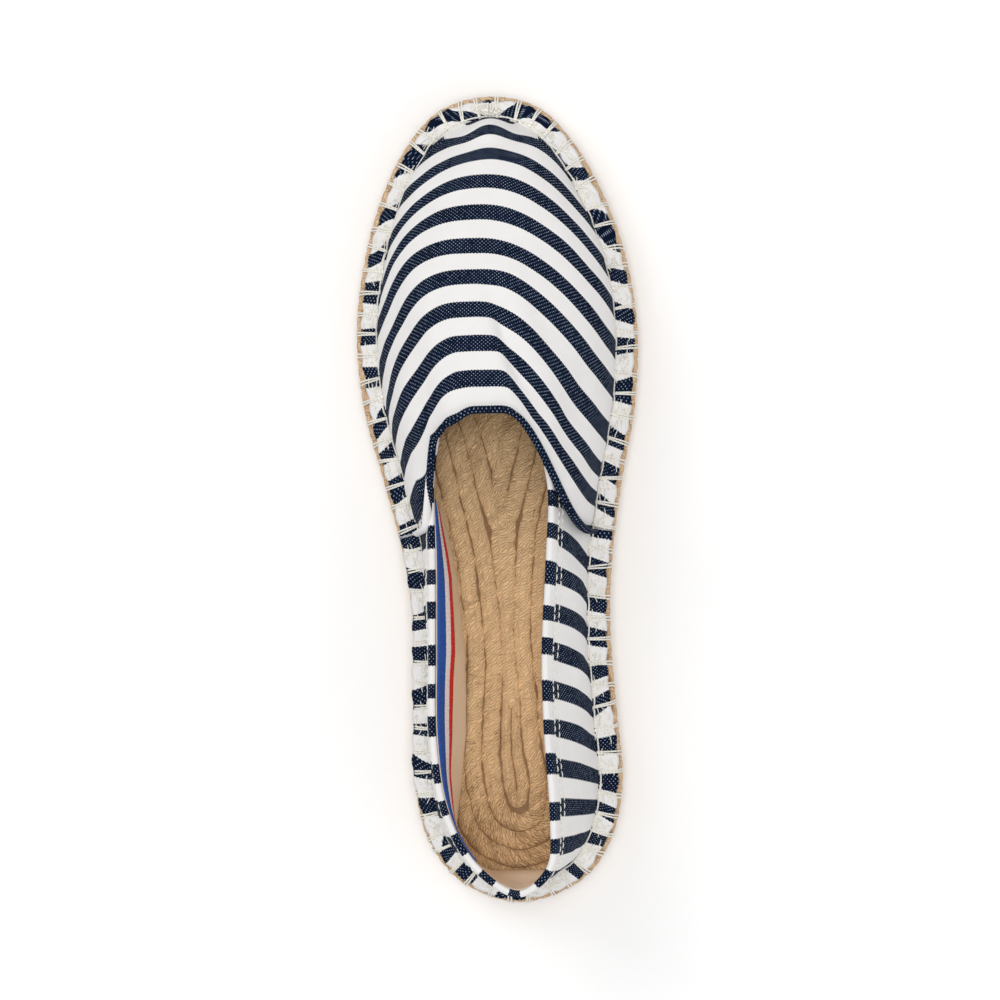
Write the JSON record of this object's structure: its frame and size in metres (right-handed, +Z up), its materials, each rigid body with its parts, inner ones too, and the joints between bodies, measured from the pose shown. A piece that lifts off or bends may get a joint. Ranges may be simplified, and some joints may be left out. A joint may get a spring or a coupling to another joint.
{
  "type": "espadrille",
  "caption": "Flat slip-on espadrille for the left foot, hollow striped canvas upper with an open collar, on a braided jute sole with a thin rubber outsole",
  "frame": {"origin": "on the floor, under the middle of the shoe's bounding box", "axes": "+Z up, the toe points to -Y, +X is the lateral side of this left shoe"},
  "size_m": [0.0908, 0.26, 0.0646],
  "materials": {
    "canvas": "navy and off-white striped cotton canvas with pin dots",
    "jute": "natural braided jute, dry and fibrous",
    "rubber": "matte tan crepe rubber"
  },
  "bodies": {
    "root": {"outsole": "rubber", "jute_sole": "jute", "upper": "canvas"}
  },
  "joints": []
}
